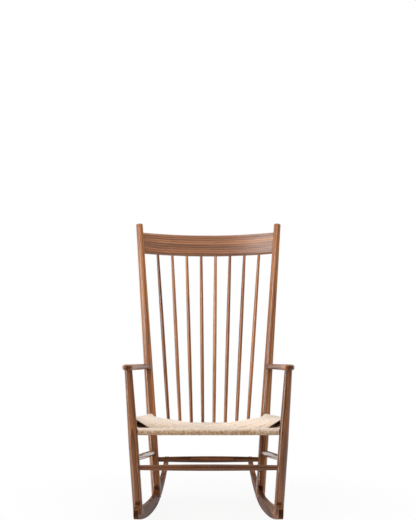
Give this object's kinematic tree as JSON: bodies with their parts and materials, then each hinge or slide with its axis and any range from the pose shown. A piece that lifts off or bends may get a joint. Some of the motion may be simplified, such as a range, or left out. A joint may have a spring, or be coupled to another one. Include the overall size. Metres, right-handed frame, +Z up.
{
  "type": "rocking chair",
  "caption": "Spindle-back rocking chair with turned walnut legs, curved arms, long slotted rockers and a woven paper cord seat.",
  "frame": {"origin": "on the floor under the middle of the chair's bounding box, with the chair at rest on its two rockers", "axes": "+X to the right of a viewer who faces the chair, +Y from the chair's front to its back, +Z up"},
  "size_m": [0.612, 0.9012, 1.0693],
  "materials": {
    "walnut": "satin",
    "paper_cord": "matte"
  },
  "bodies": {
    "root": {"arm_dowel_left": "walnut", "arm_dowel_right": "walnut", "arm_left": "walnut", "arm_right": "walnut", "crest_rail": "walnut", "front_leg_left": "walnut", "front_leg_right": "walnut", "front_rocker_pin_left": "walnut", "front_rocker_pin_right": "walnut", "front_seat_rail": "walnut", "front_stretcher": "walnut", "lower_back_rail": "walnut", "rear_post_left": "walnut", "rear_post_right": "walnut", "rear_rocker_pin_left": "walnut", "rear_rocker_pin_right": "walnut", "rear_seat_rail": "walnut", "rear_stretcher": "walnut", "rocker_left": "walnut", "rocker_right": "walnut", "seat": "paper_cord", "side_seat_rail_left": "walnut", "side_seat_rail_right": "walnut", "side_stretcher_left": "walnut", "side_stretcher_right": "walnut", "spindle_1": "walnut", "spindle_2": "walnut", "spindle_3": "walnut", "spindle_4": "walnut", "spindle_5": "walnut", "spindle_6": "walnut", "spindle_7": "walnut", "spindle_8": "walnut"}
  },
  "joints": []
}
